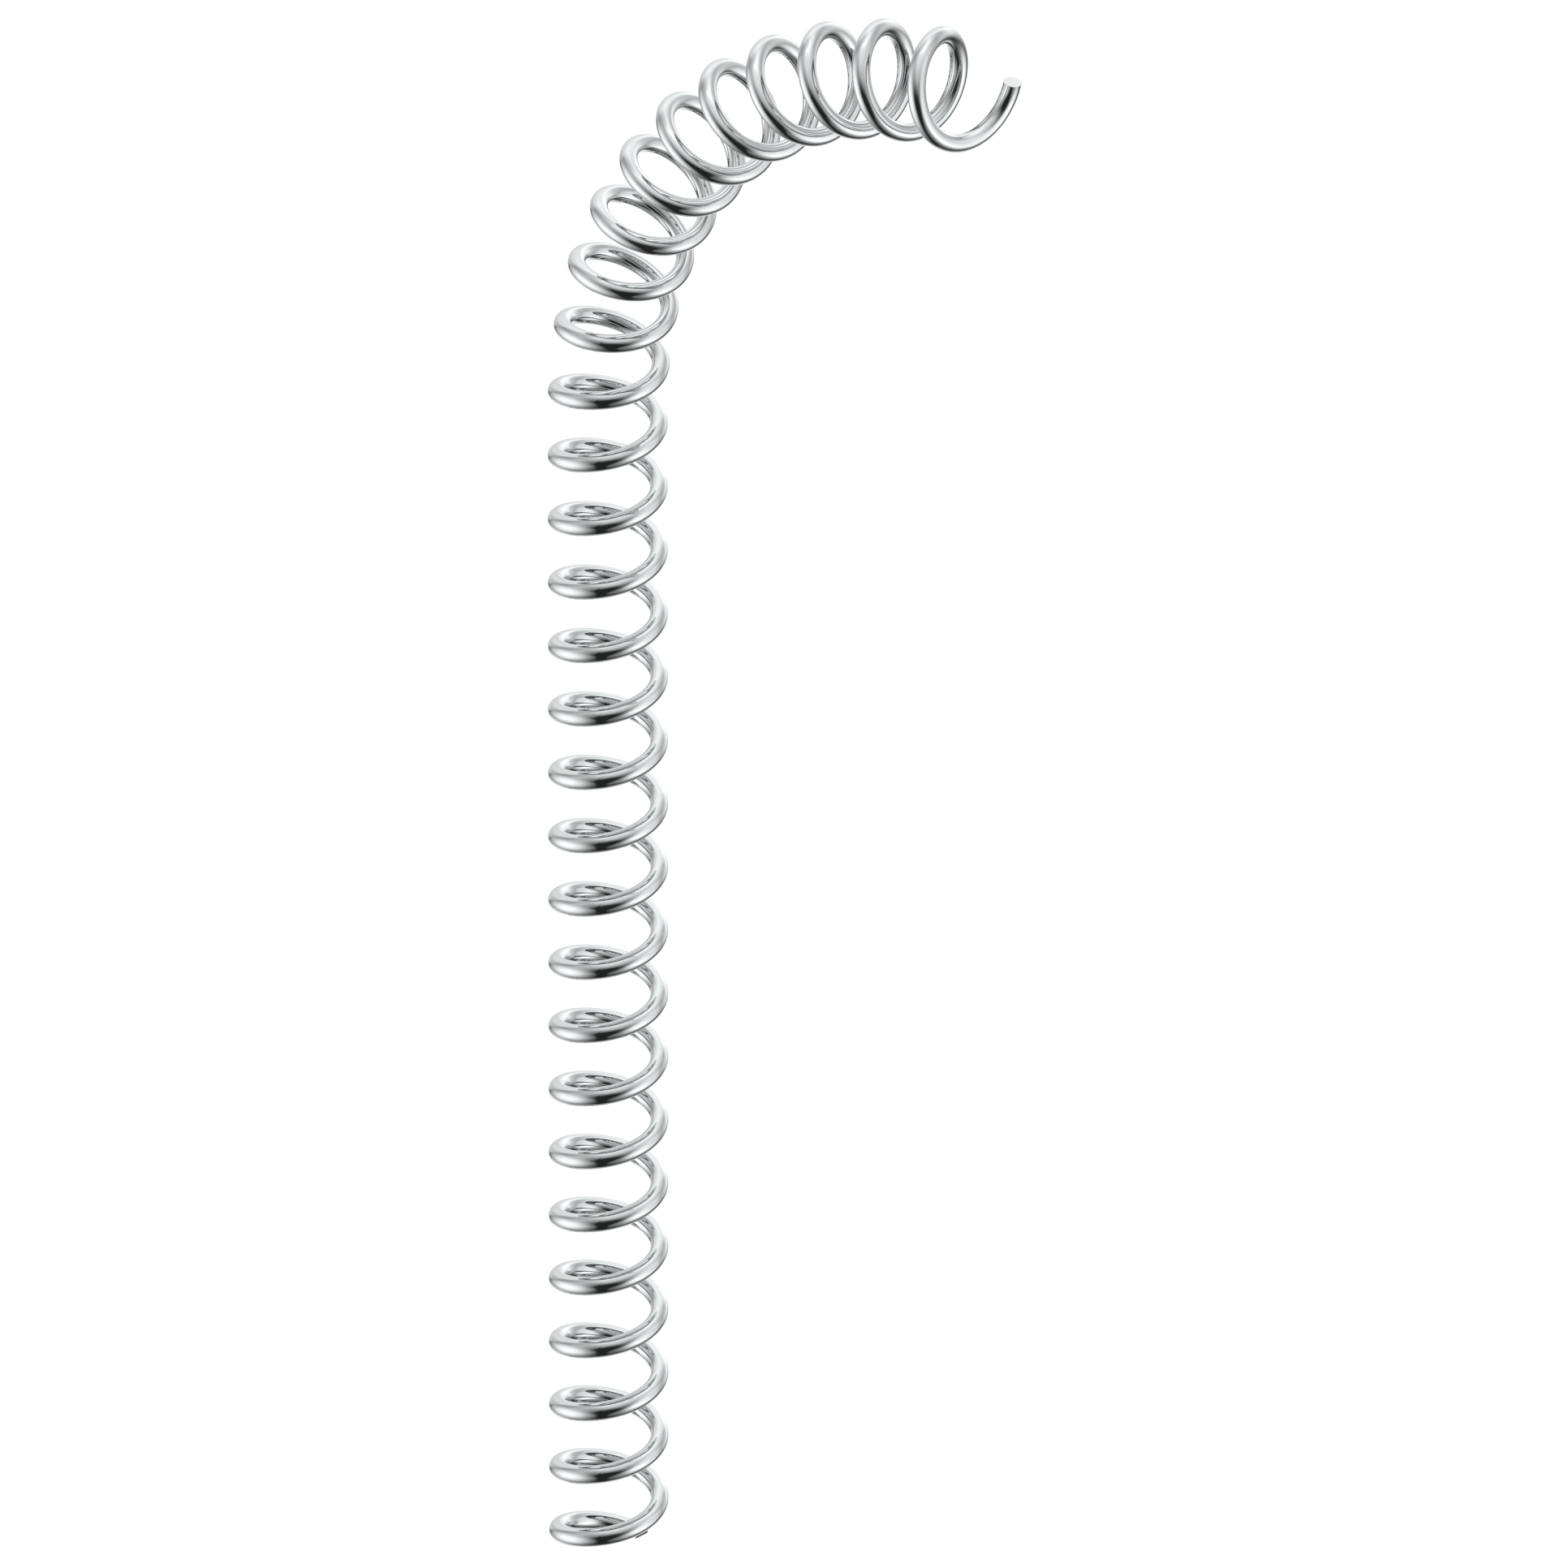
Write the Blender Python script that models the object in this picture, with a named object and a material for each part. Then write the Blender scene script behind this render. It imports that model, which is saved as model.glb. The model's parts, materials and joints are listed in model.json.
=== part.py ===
"""Coil guard spring: one round steel wire wound into a long open helix, its upper part bent over.

The wire climbs counter-clockwise round the coil's axis. The axis rises straight from the origin
and then turns through a quarter circle towards +X. Both wire ends are on the coil's +Y side. The
underside of the lower one is ground flat and level.

A rigid solid can't flex, so the one wire is divided into its turns. Every turn begins and ends on
the +Y side, where the line that the turns bend about passes through the middle of the wire.
"""

import math

import bmesh
import bpy
from mathutils import Matrix, Vector

# Driving dimensions, in metres and turns.
WIRE_DIAMETER = 0.0046
COIL_DIAMETER = 0.0300  # outside
PITCH = 0.0174
TURNS = 29
BEND_RADIUS = 0.1205  # of the coil's axis
BEND_ANGLE = math.radians(90.0)
GROUND_HEIGHT = -0.0004  # of the flat underside, from the middle of the wire's lower end

# Where one turn's solid ends and the next begins.
CUT_GAP = 0.0004
STUB_LENGTH = 0.0012
STEPS_PER_TURN = 18
MERGE_DISTANCE = 1e-6

MEAN_RADIUS = (COIL_DIAMETER - WIRE_DIAMETER) / 2
START_PHASE = math.radians(90.0)  # the wire starts on the +Y side
STRAIGHT_LENGTH = TURNS * PITCH - BEND_RADIUS * BEND_ANGLE

CHROME_COLOUR = (0.62, 0.62, 0.63, 1.0)
CHROME_ROUGHNESS = 0.06


def axis_frame(height):
    """Matrix of the coil's axis, `height` along it: Z along the axis, X towards the bend's centre."""
    turned = max(0.0, height - STRAIGHT_LENGTH) / BEND_RADIUS
    centre = Vector((
        BEND_RADIUS * (1.0 - math.cos(turned)),
        0.0,
        min(height, STRAIGHT_LENGTH) + BEND_RADIUS * math.sin(turned),
    ))
    return Matrix.Translation(centre) @ Matrix.Rotation(turned, 4, "Y")


def wire_point(turn):
    """Middle of the wire, counted in turns from the lower end."""
    phase = START_PHASE + 2.0 * math.pi * turn
    around = Vector((MEAN_RADIUS * math.cos(phase), MEAN_RADIUS * math.sin(phase), 0.0))
    return axis_frame(turn * PITCH) @ around


def level_direction(turn):
    """Direction round the coil, square to its axis, at a whole number of turns."""
    return axis_frame(turn * PITCH).to_3x3() @ Vector((-1.0, 0.0, 0.0))


def wire_direction(turn):
    """Direction of the wire itself, with its climb, at a whole number of turns."""
    climb = Vector((-2.0 * math.pi * MEAN_RADIUS, 0.0, PITCH))
    return (axis_frame(turn * PITCH).to_3x3() @ climb).normalized()


def end_stub(turn, side):
    """Face centre and next point of a solid that lies above (side 1) or below (side -1) a cut.

    The two real wire ends are cut square to the wire. The others are cut in a plane through the
    coil's axis, so that neighbours slide past each other when the coil is stretched or pressed.
    """
    if turn in (0, TURNS):
        direction, inset = wire_direction(turn), 0.0
    else:
        direction, inset = level_direction(turn), CUT_GAP / 2
    face = wire_point(turn) + direction * inset * side
    return [face, face + direction * STUB_LENGTH * side]


def turn_points(first):
    """Centre line of the turn that starts `first` turns above the lower end."""
    middle = [wire_point(first + step / STEPS_PER_TURN) for step in range(1, STEPS_PER_TURN)]
    return end_stub(first, 1) + middle + end_stub(first + 1, -1)[::-1]


def chrome(name):
    """Bright plated steel."""
    material = bpy.data.materials.new(name + "_chrome")
    material.use_nodes = True
    shader = material.node_tree.nodes["Principled BSDF"]
    shader.inputs["Base Color"].default_value = CHROME_COLOUR
    shader.inputs["Metallic"].default_value = 1.0
    shader.inputs["Roughness"].default_value = CHROME_ROUGHNESS
    material.diffuse_color = CHROME_COLOUR
    return material


def ground_level(curve):
    """Mesh of a swept wire without the part of it that is ground away underneath."""
    swept = bpy.data.objects.new("swept", curve)
    mesh = bpy.data.meshes.new_from_object(swept)
    bpy.data.objects.remove(swept)
    bm = bmesh.new()
    bm.from_mesh(mesh)
    bmesh.ops.remove_doubles(bm, verts=bm.verts, dist=MERGE_DISTANCE)
    cut = bmesh.ops.bisect_plane(
        bm,
        geom=[*bm.verts, *bm.edges, *bm.faces],
        plane_co=(0.0, 0.0, GROUND_HEIGHT),
        plane_no=(0.0, 0.0, 1.0),
        clear_inner=True,
    )
    rim = [item for item in cut["geom_cut"] if isinstance(item, bmesh.types.BMEdge)]
    bmesh.ops.contextual_create(bm, geom=rim)
    bmesh.ops.recalc_face_normals(bm, faces=bm.faces)
    bm.to_mesh(mesh)
    bm.free()
    return mesh


def build_turn(first, collection, below):
    """One turn of wire, with its origin on the coil's axis level with its lower cut."""
    name = f"turn_{first + 1:02d}"
    place = axis_frame(first * PITCH)
    to_local = place.inverted()
    points = [to_local @ point for point in turn_points(first)]

    curve = bpy.data.curves.new(name, "CURVE")
    curve.dimensions = "3D"
    curve.bevel_depth = WIRE_DIAMETER / 2
    curve.bevel_resolution = 2
    curve.use_fill_caps = True
    spline = curve.splines.new("POLY")
    spline.points.add(len(points) - 1)
    for control, point in zip(spline.points, points):
        control.co = (*point, 1.0)
    curve.materials.append(chrome(name))

    turn = bpy.data.objects.new(name, curve if first else ground_level(curve))
    collection.objects.link(turn)
    if below is not None:
        turn.parent = below
        place = axis_frame((first - 1) * PITCH).inverted() @ place
    turn.location = place.to_translation()
    turn.rotation_euler = place.to_euler()
    return turn


def main():
    for old in list(bpy.data.objects):
        bpy.data.objects.remove(old, do_unlink=True)
    collection = bpy.data.collections.new("coil_guard_spring")
    bpy.context.scene.collection.children.link(collection)
    below = None
    for first in range(TURNS):
        below = build_turn(first, collection, below)


main()
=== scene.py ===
"""Looks of the coil guard spring: one bright plated wire, unbroken, in a white studio.

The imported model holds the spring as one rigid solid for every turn. Here the wire is swept again as
a fine round bar. It is divided half a turn away from every joint, and each stretch bends from one
turn's body to the next, so that the wire stays whole when the coil is stretched or bent.
"""

import json
import logging
import math
from dataclasses import dataclass, field
from enum import Enum

import bmesh
import bpy
import numpy as np
from mathutils import Matrix, Vector

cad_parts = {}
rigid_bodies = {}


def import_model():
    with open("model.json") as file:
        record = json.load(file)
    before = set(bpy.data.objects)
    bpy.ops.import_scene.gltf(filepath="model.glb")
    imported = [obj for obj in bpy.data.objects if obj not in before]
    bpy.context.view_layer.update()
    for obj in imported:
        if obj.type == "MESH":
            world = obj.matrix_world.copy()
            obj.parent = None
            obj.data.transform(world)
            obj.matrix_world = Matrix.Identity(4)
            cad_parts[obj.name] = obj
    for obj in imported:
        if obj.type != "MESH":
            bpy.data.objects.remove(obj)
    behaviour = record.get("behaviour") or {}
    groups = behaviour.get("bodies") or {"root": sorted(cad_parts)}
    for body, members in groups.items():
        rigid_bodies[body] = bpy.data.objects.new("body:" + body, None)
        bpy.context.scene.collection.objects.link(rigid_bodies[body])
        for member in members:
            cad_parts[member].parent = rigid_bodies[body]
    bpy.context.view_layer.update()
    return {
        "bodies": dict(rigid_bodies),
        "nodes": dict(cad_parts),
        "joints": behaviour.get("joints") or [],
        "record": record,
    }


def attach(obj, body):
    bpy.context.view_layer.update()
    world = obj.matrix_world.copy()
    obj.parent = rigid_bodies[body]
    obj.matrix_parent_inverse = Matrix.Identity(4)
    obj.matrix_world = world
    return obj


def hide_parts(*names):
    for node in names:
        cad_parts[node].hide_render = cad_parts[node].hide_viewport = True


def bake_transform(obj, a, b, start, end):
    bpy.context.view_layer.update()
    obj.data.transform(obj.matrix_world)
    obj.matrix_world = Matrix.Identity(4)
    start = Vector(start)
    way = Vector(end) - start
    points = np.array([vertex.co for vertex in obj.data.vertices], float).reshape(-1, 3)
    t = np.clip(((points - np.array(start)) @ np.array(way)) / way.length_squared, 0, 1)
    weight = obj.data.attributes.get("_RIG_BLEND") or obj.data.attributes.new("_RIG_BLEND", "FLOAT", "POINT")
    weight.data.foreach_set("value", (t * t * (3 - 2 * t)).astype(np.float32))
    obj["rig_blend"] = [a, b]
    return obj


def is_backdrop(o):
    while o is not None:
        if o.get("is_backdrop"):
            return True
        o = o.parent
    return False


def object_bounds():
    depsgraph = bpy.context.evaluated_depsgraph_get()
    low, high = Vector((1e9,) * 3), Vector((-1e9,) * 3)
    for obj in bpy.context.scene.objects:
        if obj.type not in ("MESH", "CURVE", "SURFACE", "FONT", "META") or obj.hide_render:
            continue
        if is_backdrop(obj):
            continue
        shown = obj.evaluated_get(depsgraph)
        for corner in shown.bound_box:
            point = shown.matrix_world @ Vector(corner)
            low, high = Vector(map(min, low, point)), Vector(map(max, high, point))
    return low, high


LOG = logging.getLogger("coil_guard_spring")
ALONG_WIRE = "along_wire"  # point attribute: where a point would be if the wire were straight
MM = 0.001
SHORTEST = 1e-12  # keeps a division by a length from failing
MIX_FIRST, MIX_SECOND, MIX_RESULT = 6, 7, 2  # a Mix node's colour sockets

Socket = bpy.types.NodeSocket
Colour = tuple[float, float, float]


class Motion(Enum):
    """How the joint in the middle of a stretch of wire moves."""

    SLIDE = "slide"
    HINGE = "hinge"


class NodeBench:
    """Adds nodes to one tree and wires them up as it goes."""

    def __init__(self, tree: bpy.types.NodeTree) -> None:
        """Starts on an empty tree.

        Args:
            tree: The node tree of a material or a world.
        """
        self.tree = tree
        tree.nodes.clear()

    def add(self, kind: str, **settings: object) -> bpy.types.Node:
        """Adds one node.

        Args:
            kind: The node's type, without the leading ShaderNode.
            **settings: Properties of the node.

        Returns:
            The new node.
        """
        node = self.tree.nodes.new("ShaderNode" + kind)
        for name, value in settings.items():
            setattr(node, name, value)
        return node

    def link(self, source: Socket, target: Socket) -> None:
        """Joins an output to an input."""
        self.tree.links.new(source, target)

    def feed(self, node: bpy.types.Node, **values: object) -> bpy.types.Node:
        """Sets or links inputs by name, with underscores for spaces.

        Args:
            node: The node whose inputs are filled.
            **values: A socket to link, or a value to set, for each input.

        Returns:
            The same node.
        """
        for name, value in values.items():
            target = node.inputs[name.replace("_", " ")]
            if isinstance(value, bpy.types.NodeSocket):
                self.link(value, target)
            else:
                target.default_value = value
        return node

    def maths(self, operation: str, *values: Socket | float) -> Socket:
        """One arithmetic step.

        Args:
            operation: The Math node's operation.
            *values: Sockets or numbers, in order.

        Returns:
            The result's socket.
        """
        node = self.add("Math", operation=operation)
        for target, value in zip(node.inputs, values):
            if isinstance(value, bpy.types.NodeSocket):
                self.link(value, target)
            else:
                target.default_value = value
        return node.outputs[0]

    def between(self, value: Socket, low: float, high: float) -> Socket:
        """Spreads a value that runs from 0 to 1 over low to high."""
        return self.maths("MULTIPLY_ADD", value, high - low, low)

    def between_colours(self, value: Socket, first: Colour, second: Colour) -> Socket:
        """Goes from the first colour to the second as a value runs from 0 to 1.

        Args:
            value: How far to go.
            first: The colour at 0.
            second: The colour at 1.

        Returns:
            The colour's socket.
        """
        mix = self.feed(self.add("Mix", data_type="RGBA"), Factor=value)
        mix.inputs[MIX_FIRST].default_value = (*first, 1.0)
        mix.inputs[MIX_SECOND].default_value = (*second, 1.0)
        return mix.outputs[MIX_RESULT]

    def noise(self, place: Socket, scale: float, detail: float, roughness: float) -> Socket:
        """A soft random pattern.

        Args:
            place: Where the pattern is read.
            scale: Patches in a metre.
            detail: How many finer layers are added.
            roughness: How strong the finer layers are.

        Returns:
            The pattern, around 0.5.
        """
        node = self.feed(
            self.add("TexNoise", noise_dimensions="3D"),
            Vector=place,
            Scale=scale,
            Detail=detail,
            Roughness=roughness,
        )
        return node.outputs[0]

    def stretched(self, place: Socket, scale: tuple[float, float, float]) -> Socket:
        """Coordinates scaled by a factor for each axis."""
        node = self.feed(self.add("Mapping", vector_type="POINT"), Vector=place, Scale=scale)
        return node.outputs[0]

    def bright_metal(self, colour: Socket, roughness: Socket, height: Socket, depth: float) -> None:
        """Ends a material's tree with a metal surface.

        Args:
            colour: The metal's colour.
            roughness: Its roughness.
            height: The relief, from 0 to 1.
            depth: How deep the relief is.
        """
        bump = self.feed(self.add("Bump"), Strength=1.0, Distance=depth, Height=height)
        shader = self.feed(
            self.add("BsdfPrincipled"),
            Base_Color=colour,
            Metallic=1.0,
            Roughness=roughness,
            Normal=bump.outputs["Normal"],
        )
        self.link(shader.outputs[0], self.add("OutputMaterial").inputs["Surface"])


@dataclass(frozen=True)
class CoilLine:
    """The middle line of the wire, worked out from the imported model.

    The coil's axis rises straight and then bends over through a quarter circle towards +X.
    """

    turns: int
    mean_radius: float
    straight_length: float
    bend_radius: float
    wire_diameter: float = 4.6 * MM
    bend_angle: float = math.radians(90.0)
    start_phase: float = math.radians(90.0)
    ground_height: float = -0.4 * MM

    @classmethod
    def from_frame(cls, frame: dict) -> "CoilLine":
        """Reads the coil off the face at the wire's upper end.


        Returns:
            The coil's line.
        """
        mounts = {mount["name"]: mount for mount in frame["record"]["mounts"]}
        across, radius, height = mounts["upper_wire_face"]["pos_m"]
        return cls(len(frame["bodies"]), radius, height - across, across)

    @property
    def pitch(self) -> float:
        """Climb of the wire along the axis in one turn."""
        return (self.straight_length + self.bend_radius * self.bend_angle) / self.turns

    @property
    def turn_length(self) -> float:
        """Length of wire in one straight turn."""
        return math.hypot(2.0 * math.pi * self.mean_radius, self.pitch)

    def axis_frame(self, turn: float) -> Matrix:
        """Place of the coil's axis.

        Args:
            turn: Turns counted from the lower end.

        Returns:
            A matrix with Z along the axis and X towards the middle of the bend.
        """
        height = turn * self.pitch
        turned = max(0.0, height - self.straight_length) / self.bend_radius
        centre = Vector((
            self.bend_radius * (1.0 - math.cos(turned)),
            0.0,
            min(height, self.straight_length) + self.bend_radius * math.sin(turned),
        ))
        return Matrix.Translation(centre) @ Matrix.Rotation(turned, 4, "Y")

    def wire_frame(self, turn: float) -> Matrix:
        """Place of the wire.

        Args:
            turn: Turns counted from the lower end.

        Returns:
            A matrix at the wire's middle with Z along the wire and X out from the coil's axis.
        """
        phase = self.start_phase + 2.0 * math.pi * turn
        out = Vector((math.cos(phase), math.sin(phase), 0.0))
        curvature = 1.0 / self.bend_radius if turn * self.pitch > self.straight_length else 0.0
        climb = self.pitch / (2.0 * math.pi) * (1.0 - curvature * self.mean_radius * out.x)
        along = Vector((-out.y * self.mean_radius, out.x * self.mean_radius, climb)).normalized()
        axes = Matrix((out, along.cross(out), along)).transposed().to_4x4()
        return self.axis_frame(turn) @ Matrix.Translation(out * self.mean_radius) @ axes


@dataclass(frozen=True)
class PlatedFinish:
    """Bright plating over a drawn wire: a mirror with faint draw lines and a little haze.

    Draw lines run along the wire and are much longer than they are wide.
    """

    name: str = "plated_wire"
    colour: Colour = (0.60, 0.605, 0.606)
    hazed_colour: Colour = (0.58, 0.585, 0.586)
    polished_roughness: float = 0.01
    hazed_roughness: float = 0.03
    line_width: float = 0.06 * MM
    line_length: float = 9.0 * MM
    line_depth: float = 0.00002 * MM
    line_detail: float = 2.0
    line_grain: float = 0.55
    haze_size: float = 5.0 * MM
    haze_detail: float = 3.0
    haze_grain: float = 0.6
    haze_starts: float = 0.42
    haze_full: float = 0.78
    haze_between_lines: float = 0.6

    def material(self) -> bpy.types.Material:
        """Builds the finish.

        Returns:
            A node material that reads the straightened wire's coordinates.
        """
        material = bpy.data.materials.new(self.name)
        material.use_nodes = True
        bench = NodeBench(material.node_tree)
        place = bench.add("Attribute", attribute_name=ALONG_WIRE).outputs["Vector"]
        lines = self._lines(bench, place)
        haze = self._haze(bench, place)
        worn = bench.maths("MULTIPLY", haze, bench.between(lines, self.haze_between_lines, 1.0))
        tint = bench.between_colours(worn, self.colour, self.hazed_colour)
        roughness = bench.between(worn, self.polished_roughness, self.hazed_roughness)
        bench.bright_metal(tint, roughness, lines, self.line_depth)
        material.diffuse_color = (*self.colour, 1.0)
        return material

    def _lines(self, bench: NodeBench, place: Socket) -> Socket:
        """Fine draw lines, stretched out along the wire.

        Args:
            bench: The material's nodes.
            place: The straightened wire's coordinates.

        Returns:
            The height of the lines, around 0.5.
        """
        across, along = 1.0 / self.line_width, 1.0 / self.line_length
        stretched = bench.stretched(place, (across, across, along))
        return bench.noise(stretched, 1.0, self.line_detail, self.line_grain)

    def _haze(self, bench: NodeBench, place: Socket) -> Socket:
        """Soft patches where the plating is a little less bright.

        Args:
            bench: The material's nodes.
            place: The straightened wire's coordinates.

        Returns:
            The haze, from 0 to 1.
        """
        patches = bench.noise(place, 1.0 / self.haze_size, self.haze_detail, self.haze_grain)
        spread = bench.feed(
            bench.add("MapRange", interpolation_type="SMOOTHSTEP"),
            Value=patches,
            From_Min=self.haze_starts,
            From_Max=self.haze_full,
        )
        return spread.outputs[0]


@dataclass(frozen=True)
class ShearedFinish:
    """The wire's cut and ground ends: plated, but with fine parallel tool marks."""

    name: str = "cut_face"
    colour: Colour = (0.61, 0.615, 0.616)
    mark_colour: Colour = (0.56, 0.565, 0.566)
    least_roughness: float = 0.10
    most_roughness: float = 0.18
    mark_spacing: float = 0.22 * MM
    mark_length: float = 3.6667 * MM
    mark_detail: float = 4.0
    mark_grain: float = 0.65
    mark_depth: float = 0.002 * MM

    def material(self) -> bpy.types.Material:
        """Builds the finish.

        Returns:
            A node material that reads the straightened wire's coordinates.
        """
        material = bpy.data.materials.new(self.name)
        material.use_nodes = True
        bench = NodeBench(material.node_tree)
        place = bench.add("Attribute", attribute_name=ALONG_WIRE).outputs["Vector"]
        stretched = bench.stretched(place, (1.0 / self.mark_spacing, 1.0 / self.mark_length, 1.0))
        marks = bench.noise(stretched, 1.0, self.mark_detail, self.mark_grain)
        tint = bench.between_colours(marks, self.colour, self.mark_colour)
        roughness = bench.between(marks, self.least_roughness, self.most_roughness)
        bench.bright_metal(tint, roughness, marks, self.mark_depth)
        material.diffuse_color = (*self.colour, 1.0)
        return material


@dataclass(frozen=True)
class Stretch:
    """One stretch of the wire, between two places halfway along neighbouring turns.

    A stretch at either end of the wire rides on one body, and any other bends across one joint.
    """

    name: str
    first: float
    last: float
    bodies: tuple[str, ...]
    motion: Motion | None = None
    eases_in: bool = True
    eases_out: bool = True

    def share(self, along: np.ndarray) -> np.ndarray:
        """How far each point follows the upper body.

        A hinge's turn is taken up smoothly. Sliding is shared out evenly along the wire, so that
        the pitch stays even, and fades in or out where the sliding turns begin or end.

        Args:
            along: Places along the stretch, from 0 to 1.

        Returns:
            Weights from 0 to 1.
        """
        if self.motion is Motion.HINGE or (self.eases_in and self.eases_out):
            return along**2 * (3.0 - 2.0 * along)
        if self.eases_in:
            return along**2 * (2.0 - along)
        if self.eases_out:
            return along + along**2 - along**3
        return along


@dataclass
class SpringWire:
    """The spring's one wire, swept along the coil's line as a round bar."""

    line: CoilLine
    plating: PlatedFinish = field(default_factory=PlatedFinish)
    cut: ShearedFinish = field(default_factory=ShearedFinish)
    sides: int = 56
    rings_per_turn: int = 168
    edge_break: float = 0.09 * MM
    edge_segments: int = 3

    def stretches(self, joints: list[dict]) -> list[Stretch]:
        """Divides the wire half a turn away from every joint.

        Args:
            joints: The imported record's joints, from the lower end up.

        Returns:
            The stretches, from the lower end up.
        """
        kinds = [Motion(joint["type"]) for joint in joints]
        found = [Stretch("wire_foot", 0.0, 0.5, (joints[0]["parent"],))]
        for index, joint in enumerate(joints):
            below = kinds[index - 1] if index else None
            above = kinds[index + 1] if index + 1 < len(kinds) else None
            found.append(
                Stretch(
                    name=f"wire_{index + 1:02d}_{index + 2:02d}",
                    first=index + 0.5,
                    last=index + 1.5,
                    bodies=(joint["parent"], joint["child"]),
                    motion=kinds[index],
                    eases_in=below is not kinds[index],
                    eases_out=above is not kinds[index],
                )
            )
        found.append(
            Stretch("wire_tip", len(joints) + 0.5, self.line.turns, (joints[-1]["child"],))
        )
        return found

    def build(self, joints: list[dict]) -> list[bpy.types.Object]:
        """Builds and dresses every stretch.

        Args:
            joints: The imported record's joints.

        Returns:
            The finished pieces.
        """
        dressing = (self.plating.material(), self.cut.material())
        pieces = []
        for stretch in self.stretches(joints):
            piece = self._piece(stretch, dressing)
            self._attach(piece, stretch)
            pieces.append(piece)
            LOG.info("%s: %d faces on %s", piece.name, len(piece.data.polygons), stretch.bodies)
        return pieces

    def _piece(
        self, stretch: Stretch, dressing: tuple[bpy.types.Material, ...]
    ) -> bpy.types.Object:
        """Makes one stretch's object.

        Args:
            stretch: The part of the wire to make.
            dressing: The plating and the cut faces' finish.

        Returns:
            The object, at the origin.
        """
        mesh = bpy.data.meshes.new(stretch.name)
        bm = bmesh.new()
        self._sweep(bm, stretch)
        bm.to_mesh(mesh)
        bm.free()
        for material in dressing:
            mesh.materials.append(material)
        self._round_off(mesh, stretch)
        piece = bpy.data.objects.new(stretch.name, mesh)
        bpy.context.scene.collection.objects.link(piece)
        return piece

    def _sweep(self, bm: bmesh.types.BMesh, stretch: Stretch) -> None:
        """Draws a round section along the coil's line and closes both ends.

        Args:
            bm: An empty mesh to fill.
            stretch: The part of the wire to make.
        """
        layer = bm.verts.layers.float_vector.new(ALONG_WIRE)
        count = round((stretch.last - stretch.first) * self.rings_per_turn)
        turns = np.linspace(stretch.first, stretch.last, count + 1)
        place = self.line.wire_frame(turns[0])
        radius = self.line.wire_diameter / 2.0
        ring = bmesh.ops.create_circle(
            bm, cap_ends=True, segments=self.sides, radius=radius, matrix=place
        )["verts"]
        self._mark(ring, layer, place, turns[0])
        caps = list(bm.faces)
        edges = list(bm.edges)
        for turn in turns[1:]:
            grown = bmesh.ops.extrude_edge_only(bm, edges=edges)["geom"]
            ring = [item for item in grown if isinstance(item, bmesh.types.BMVert)]
            rows = set(ring)
            edges = [
                item
                for item in grown
                if isinstance(item, bmesh.types.BMEdge) and rows.issuperset(item.verts)
            ]
            following = self.line.wire_frame(turn)
            bmesh.ops.transform(bm, matrix=following @ place.inverted(), verts=ring)
            place = following
            self._mark(ring, layer, place, turn)
        caps += bmesh.ops.contextual_create(bm, geom=edges)["faces"]
        for face in bm.faces:
            face.smooth = True
        self._finish_ends(bm, stretch, caps)
        if stretch.first == 0.0:
            self._grind_level(bm)
        bmesh.ops.recalc_face_normals(bm, faces=bm.faces)

    def _mark(
        self,
        ring: list[bmesh.types.BMVert],
        layer: bmesh.types.BMLayerItem,
        place: Matrix,
        turn: float,
    ) -> None:
        """Writes where one ring's points would be on the straight wire.

        Args:
            ring: The ring's points.
            layer: The layer that holds the straight wire's coordinates.
            place: The wire's frame at the ring.
            turn: The ring's place, in turns.
        """
        to_section = place.inverted()
        for vert in ring:
            spot = to_section @ vert.co
            vert[layer] = Vector((spot.x, spot.y, turn * self.line.turn_length))

    def _finish_ends(
        self, bm: bmesh.types.BMesh, stretch: Stretch, caps: list[bmesh.types.BMFace]
    ) -> None:
        """Breaks the edge of a real wire end and gives its face the cut finish.

        The faces where two stretches meet stay plain and square, inside the wire.

        Args:
            bm: The stretch's mesh.
            stretch: The part of the wire that is made.
            caps: The lower and the upper end face.
        """
        lower, upper = caps
        for face in caps:
            face.smooth = False
        ends = []
        if stretch.first == 0.0:
            ends.append(lower)
        if stretch.last == self.line.turns:
            ends.append(upper)
        for face in ends:
            face.material_index = 1
            bmesh.ops.bevel(
                bm,
                geom=list(face.edges),
                offset=self.edge_break,
                offset_type="OFFSET",
                affect="EDGES",
                segments=self.edge_segments,
                profile=0.5,
                material=-1,
            )

    def _grind_level(self, bm: bmesh.types.BMesh) -> None:
        """Grinds the underside of the wire's lower end flat and level.

        Args:
            bm: The lowest stretch's mesh.
        """
        cut = bmesh.ops.bisect_plane(
            bm,
            geom=[*bm.verts, *bm.edges, *bm.faces],
            plane_co=(0.0, 0.0, self.line.ground_height),
            plane_no=(0.0, 0.0, 1.0),
            clear_inner=True,
        )
        rim = [item for item in cut["geom_cut"] if isinstance(item, bmesh.types.BMEdge)]
        for face in bmesh.ops.contextual_create(bm, geom=rim)["faces"]:
            face.material_index = 1
            face.smooth = False

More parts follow.
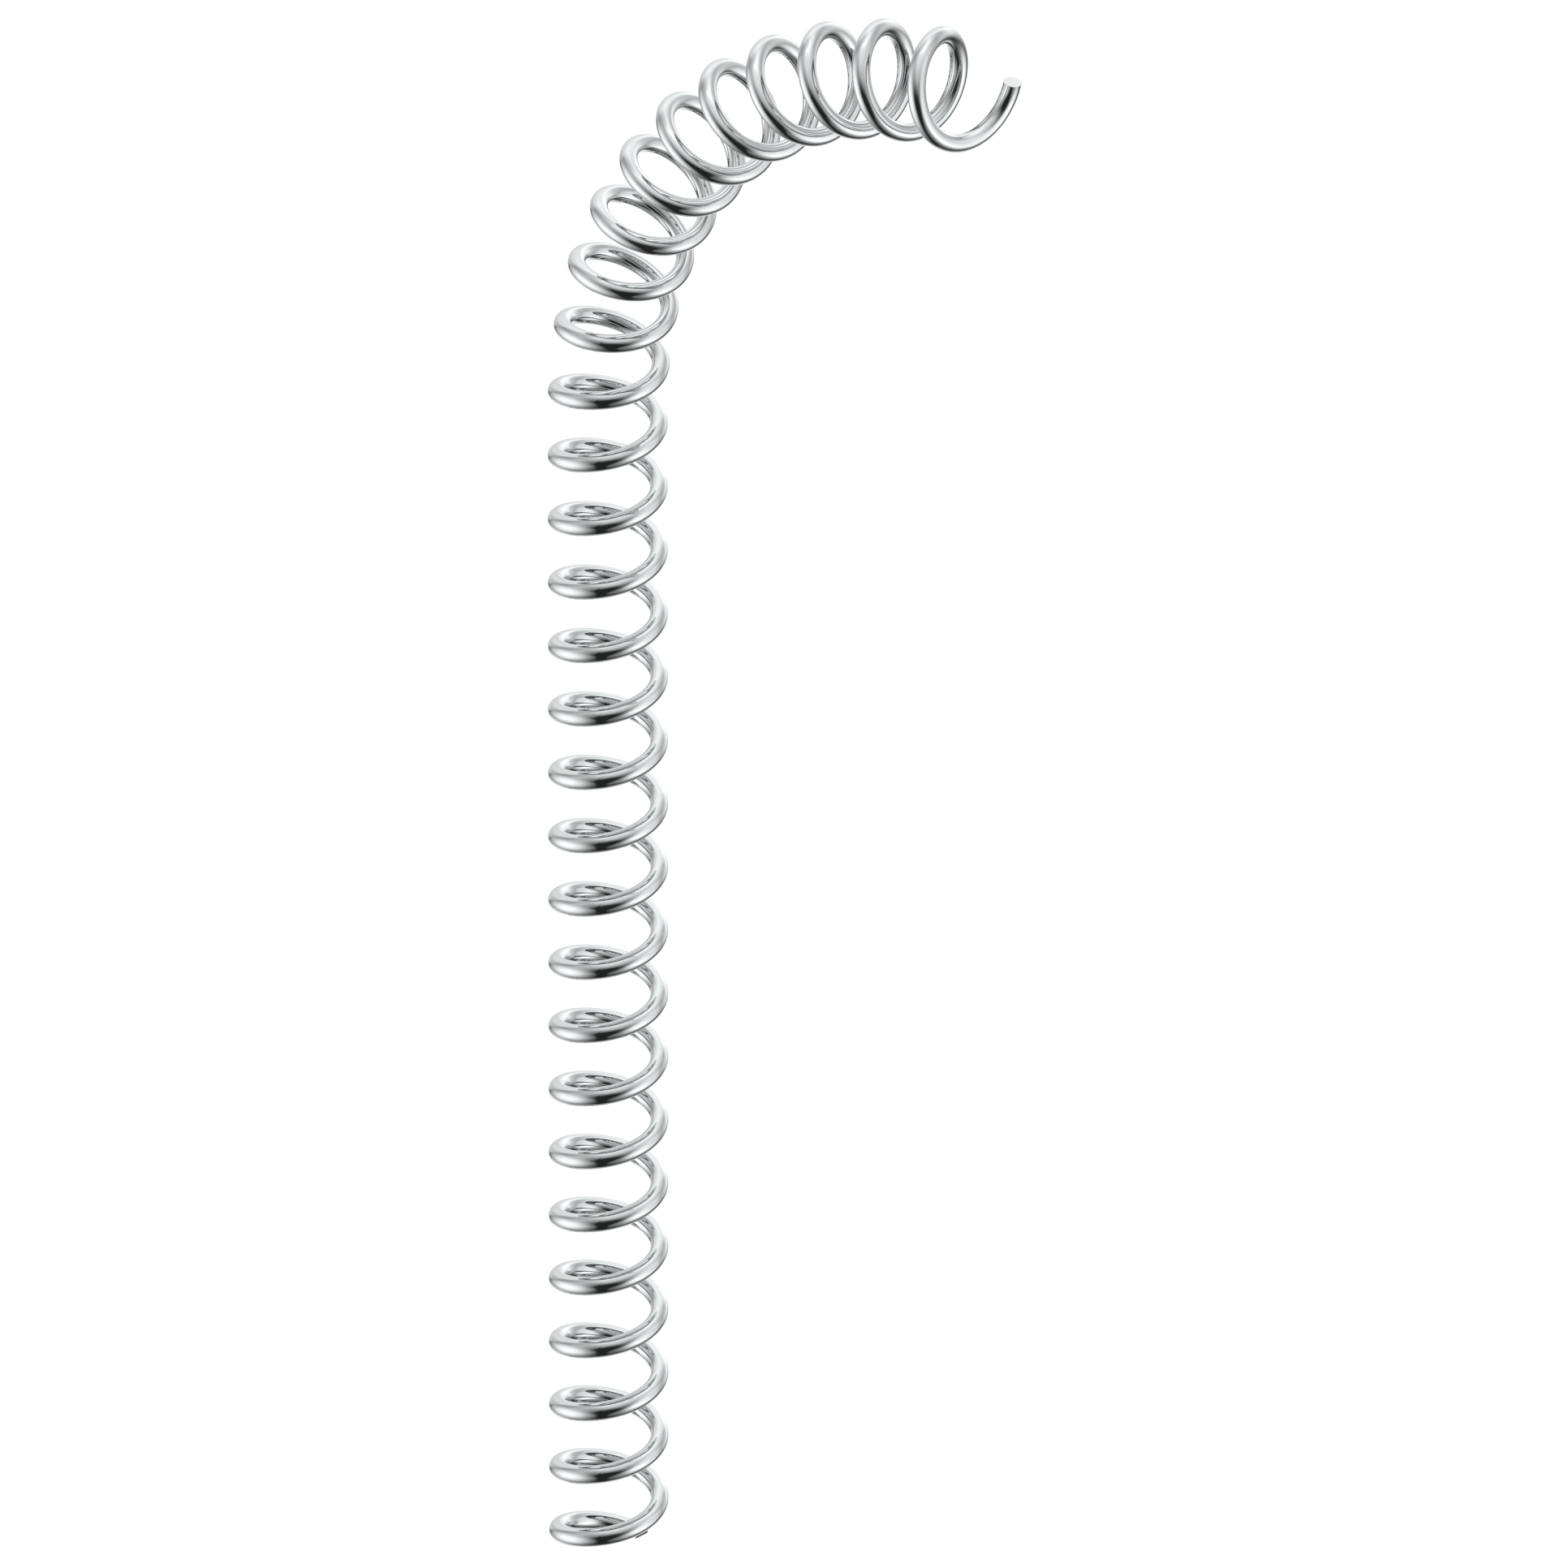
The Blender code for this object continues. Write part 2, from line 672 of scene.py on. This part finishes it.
    def _round_off(self, mesh: bpy.types.Mesh, stretch: Stretch) -> None:
        """Gives the wire's side the exact normals of a round bar, alike on both sides of a joint.

        Args:
            mesh: The stretch's mesh.
            stretch: The part of the wire that is made. Not used.
        """
        count = len(mesh.vertices)
        spots = np.zeros(count * 3, np.float32)
        mesh.attributes[ALONG_WIRE].data.foreach_get("vector", spots)
        spots = spots.reshape(-1, 3)
        turns = spots[:, 2] / self.line.turn_length
        normals = np.zeros((count, 3), np.float32)
        for turn in np.unique(turns):
            here = turns == turn
            axes = np.array(self.line.wire_frame(float(turn)).to_3x3())
            section = np.column_stack([spots[here, :2], np.zeros(here.sum())])
            normals[here] = section @ axes.T
        length = np.linalg.norm(normals, axis=1, keepdims=True)
        normals /= np.maximum(length, SHORTEST)
        corners = np.zeros(len(mesh.loops), np.int32)
        mesh.loops.foreach_get("vertex_index", corners)
        sizes = np.zeros(len(mesh.polygons), np.int32)
        mesh.polygons.foreach_get("loop_total", sizes)
        smooth = np.zeros(len(mesh.polygons), bool)
        mesh.polygons.foreach_get("use_smooth", smooth)
        rounded = np.repeat(smooth, sizes)
        wanted = np.where(rounded[:, None], normals[corners], 0.0)
        mesh.normals_split_custom_set(wanted.tolist())

    def _attach(self, piece: bpy.types.Object, stretch: Stretch) -> None:
        """Makes a stretch follow its bodies and stand for their solids.

        Args:
            piece: The stretch's object.
            stretch: The part of the wire that it shows.
        """
        if stretch.motion is None:
            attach(piece, stretch.bodies[0])
        else:
            start = self.line.wire_frame(stretch.first).to_translation()
            end = self.line.wire_frame(stretch.last).to_translation()
            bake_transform(piece, *stretch.bodies, start=tuple(start), end=tuple(end))
            self._share_motion(piece.data, stretch)
        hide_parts(*stretch.bodies)

    def _share_motion(self, mesh: bpy.types.Mesh, stretch: Stretch) -> None:
        """Shares a joint's motion out along the wire, so that each section of it stays round.

        Args:
            mesh: The stretch's mesh, once it blends between its bodies.
            stretch: The part of the wire that it shows.
        """
        spots = np.zeros(len(mesh.vertices) * 3, np.float32)
        mesh.attributes[ALONG_WIRE].data.foreach_get("vector", spots)
        turns = spots[2::3] / self.line.turn_length
        along = np.clip((turns - stretch.first) / (stretch.last - stretch.first), 0.0, 1.0)
        weights = stretch.share(along).astype(np.float32)
        mesh.attributes["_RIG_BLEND"].data.foreach_set("value", weights)


class LampRole(Enum):
    """What a panel does to the light that comes from its part of the studio."""

    SOFTBOX = "softbox"
    FLAG = "flag"


@dataclass(frozen=True)
class Panel:
    """A soft-edged panel of the studio, as seen from the spring. Angles are in degrees.

    Azimuth 0 is towards -Y and 90 towards +X. Elevation is above the horizon. A panel can lean,
    taper towards its foot, and fade softly (edge 0.6) or sharply (edge 3).
    """

    role: LampRole
    azimuth: float
    elevation: float
    half_width: float
    half_height: float
    strength: float
    lean: float = 0.0
    taper: float = 0.0
    edge: float = 1.0


@dataclass
class Studio:
    """A white studio: pale floor, softboxes and dark flags all round, and the camera."""

    camera_azimuth: float = 40.5
    camera_elevation: float = 25.5
    lens: float = 1700.0
    sensor: float = 36.0
    fill: float = 0.975
    aim_above_middle: float = 0.36 * MM
    framing_steps: int = 3000
    floor_radius: float = 3.0
    floor_drop: float = 0.2 * MM
    floor_sides: int = 96
    near_limit: float = 0.01  # what the camera sees, in parts of its distance
    far_limit: float = 3.0
    white: float = 1.02  # a little over 1, so that floor and backdrop come out pure white
    tint: Colour = (0.98, 0.995, 1.0)
    darkest: float = 0.027
    narrowest_panel: float = 2.0
    sky: tuple[tuple[float, float], ...] = (
        (-90.0, 0.021),
        (-65.0, 0.021),
        (-25.0, 0.087),
        (0.0, 0.080),
        (30.0, 0.54),
        (60.0, 1.50),
        (90.0, 1.88),
    )
    panels: tuple[Panel, ...] = (
        Panel(LampRole.SOFTBOX, -44, -9, 42, 49, 1.60, lean=-0.07, taper=-0.15, edge=1.42),
        Panel(LampRole.SOFTBOX, 94, -10, 24, 27, 1.27, lean=-0.14, taper=-0.21, edge=1.49),
        Panel(LampRole.SOFTBOX, -120, -25, 37, 53, 1.22, lean=0.35, taper=-0.52, edge=1.51),
        Panel(LampRole.SOFTBOX, 122, 11, 26, 28, 0.88, lean=-0.30, taper=0.34, edge=1.64),
        Panel(LampRole.SOFTBOX, -143, 22, 40, 33, 1.76, lean=0.50, taper=0.21, edge=1.83),
        Panel(LampRole.SOFTBOX, -179, -20, 18, 33, 2.73, lean=-0.10, taper=0.27, edge=1.41),
        Panel(LampRole.SOFTBOX, 148, -32, 61, 24, 1.60, lean=0.89, taper=0.22, edge=0.98),
        Panel(LampRole.FLAG, 35, -12, 21, 38, 0.94, lean=-0.17, taper=0.63, edge=2.84),
        Panel(LampRole.FLAG, 175, -7, 21, 46, 0.37, lean=0.10, taper=-0.23, edge=2.71),
        Panel(LampRole.FLAG, -67, 46, 76, 39, 0.46, lean=-1.50, taper=-0.80, edge=1.78),
        Panel(LampRole.FLAG, -119, 1, 32, 50, 0.39, lean=-0.80, taper=0.37, edge=2.56),
        Panel(LampRole.FLAG, 165, -35, 33, 37, 0.94, lean=0.76, taper=-0.13, edge=1.09),
        Panel(LampRole.FLAG, -104, -19, 10, 18, 0.85, lean=0.61, taper=-0.56, edge=0.54),
        Panel(LampRole.FLAG, 32, -53, 14, 90, 0.92, lean=-0.25, taper=-0.14, edge=1.70),
        Panel(LampRole.FLAG, 33, 72, 90, 33, 0.28, lean=-0.76, taper=-0.80, edge=2.30),
    )

    def build(self, line: CoilLine) -> None:
        """Sets up floor, light and camera.

        Args:
            line: The coil's line, which the camera frames.
        """
        self._floor()
        self._world()
        self._camera(line)
        bpy.context.scene.view_settings.view_transform = "Standard"

    def _floor(self) -> None:
        """A plain white floor that only the camera sees, so that the wire mirrors the panels."""
        mesh = bpy.data.meshes.new("floor")
        bm = bmesh.new()
        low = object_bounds()[0].z - self.floor_drop
        bmesh.ops.create_circle(
            bm,
            cap_ends=True,
            segments=self.floor_sides,
            radius=self.floor_radius,
            matrix=Matrix.Translation((0.0, 0.0, low)),
        )
        bm.to_mesh(mesh)
        bm.free()
        floor = bpy.data.objects.new("floor", mesh)
        bpy.context.scene.collection.objects.link(floor)
        floor.visible_glossy = False
        floor.visible_diffuse = False
        floor.visible_shadow = False
        material = bpy.data.materials.new("white_floor")
        material.use_nodes = True
        bench = NodeBench(material.node_tree)
        glow = bench.feed(bench.add("Emission"), Color=(1.0, 1.0, 1.0, 1.0), Strength=self.white)
        bench.link(glow.outputs[0], bench.add("OutputMaterial").inputs["Surface"])
        mesh.materials.append(material)
        floor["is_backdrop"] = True

    def _world(self) -> None:
        """White behind the spring, and the panelled studio in everything that it mirrors."""
        world = bpy.data.worlds.new("studio")
        world.use_nodes = True
        bpy.context.scene.world = world
        bench = NodeBench(world.node_tree)
        where = bench.add("SeparateXYZ")
        bench.link(bench.add("TexCoord").outputs["Generated"], where.inputs[0])
        x, y, z = where.outputs
        forward = bench.maths("MULTIPLY", y, -1.0)
        azimuth = bench.maths("DEGREES", bench.maths("ARCTAN2", x, forward))
        elevation = bench.maths("DEGREES", bench.maths("ARCSINE", z))
        light = self._sky(bench, elevation)
        for panel in self.panels:
            light = self._lit_by(bench, panel, light, azimuth, elevation)
        light = bench.maths("MAXIMUM", light, self.darkest)
        tinted = bench.add("VectorMath", operation="SCALE")
        tinted.inputs[0].default_value = self.tint
        bench.link(light, tinted.inputs["Scale"])
        studio = bench.feed(bench.add("Background"), Color=tinted.outputs[0])
        backdrop = bench.feed(
            bench.add("Background"), Color=(1.0, 1.0, 1.0, 1.0), Strength=self.white
        )
        choice = bench.add("MixShader")
        bench.link(bench.add("LightPath").outputs["Is Camera Ray"], choice.inputs[0])
        bench.link(studio.outputs[0], choice.inputs[1])
        bench.link(backdrop.outputs[0], choice.inputs[2])
        bench.link(choice.outputs[0], bench.add("OutputWorld").inputs["Surface"])

    def _sky(self, bench: NodeBench, elevation: Socket) -> Socket:
        """Even light that grows from the floor to the ceiling.

        Args:
            bench: The world's nodes.
            elevation: Degrees above the horizon.

        Returns:
            The light's brightness.
        """
        ramp = bench.add("ValToRGB")
        stops = ramp.color_ramp.elements
        while len(stops) < len(self.sky):
            stops.new(0.5)
        for stop, (height, level) in zip(stops, self.sky):
            stop.position = (height + 90.0) / 180.0
            stop.color = (level, level, level, 1.0)
        bench.link(bench.maths("MULTIPLY_ADD", elevation, 1.0 / 180.0, 0.5), ramp.inputs[0])
        return ramp.outputs[0]

    def _lit_by(
        self,
        bench: NodeBench,
        panel: Panel,
        light: Socket,
        azimuth: Socket,
        elevation: Socket,
    ) -> Socket:
        """Adds one softbox to the light, or holds some of it back with a flag.

        Args:
            bench: The world's nodes.
            panel: The softbox or flag.
            light: Brightness so far.
            azimuth: Degrees round from -Y.
            elevation: Degrees above the horizon.

        Returns:
            The new brightness.
        """
        above = bench.maths("SUBTRACT", elevation, panel.elevation)
        middle = bench.maths("MULTIPLY_ADD", above, panel.lean, panel.azimuth)
        width = bench.maths("MULTIPLY_ADD", above, panel.taper, panel.half_width)
        width = bench.maths("MAXIMUM", width, self.narrowest_panel)
        aside = bench.maths("WRAP", bench.maths("SUBTRACT", azimuth, middle), 180.0, -180.0)
        across = bench.maths("POWER", bench.maths("DIVIDE", aside, width), 2.0)
        up = bench.maths("POWER", bench.maths("DIVIDE", above, panel.half_height), 2.0)
        out = bench.maths("POWER", bench.maths("ADD", across, up), panel.edge)
        inside = bench.maths("EXPONENT", bench.maths("MULTIPLY", out, -1.0))
        if panel.role is LampRole.SOFTBOX:
            return bench.maths("MULTIPLY_ADD", inside, panel.strength, light)
        kept = bench.maths("MULTIPLY_ADD", inside, -panel.strength, 1.0)
        return bench.maths("MULTIPLY", light, kept)

    def _camera(self, line: CoilLine) -> None:
        """A very long lens, aimed so that the spring stands in the middle and fills the height.

        Args:
            line: The coil's line.
        """
        azimuth = math.radians(self.camera_azimuth)
        elevation = math.radians(self.camera_elevation)
        back = Vector((
            math.sin(azimuth) * math.cos(elevation),
            -math.cos(azimuth) * math.cos(elevation),
            math.sin(elevation),
        ))
        right = Vector((math.cos(azimuth), math.sin(azimuth), 0.0))
        up = back.cross(right)
        middles = np.array([
            line.wire_frame(line.turns * step / self.framing_steps).to_translation()
            for step in range(self.framing_steps + 1)
        ])
        sides, heights, depths = (middles @ np.array(axis) for axis in (right, up, back))
        side = (sides.max() + sides.min()) / 2.0
        height = (heights.max() + heights.min()) / 2.0
        depth = (depths.max() + depths.min()) / 2.0
        span = heights.max() - heights.min() + line.wire_diameter
        distance = span / (self.fill * self.sensor / self.lens)
        nearness = distance / (distance - (depths - depth)) - 1.0
        side += float(((sides - side) * nearness).mean())
        height += float(((heights - height) * nearness).mean())
        centre = right * side + up * (height + self.aim_above_middle) + back * depth
        camera = bpy.data.cameras.new("camera")
        camera.lens = self.lens
        camera.sensor_width = self.sensor
        camera.clip_start = distance * self.near_limit
        camera.clip_end = distance * self.far_limit
        holder = bpy.data.objects.new("camera", camera)
        bpy.context.scene.collection.objects.link(holder)
        holder.rotation_mode = "QUATERNION"
        holder.location = centre + back * distance
        holder.rotation_quaternion = back.to_track_quat("Z", "Y")
        bpy.context.scene.camera = holder


def main() -> None:
    """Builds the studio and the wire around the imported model."""
    logging.basicConfig(level=logging.INFO, format="%(name)s: %(message)s")
    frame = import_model()
    line = CoilLine.from_frame(frame)
    LOG.info("%d turns of %.1f mm pitch", line.turns, line.pitch / MM)
    Studio().build(line)
    pieces = SpringWire(line).build(frame["joints"])
    LOG.info("%d pieces of wire", len(pieces))


if __name__ == "__main__":
    main()
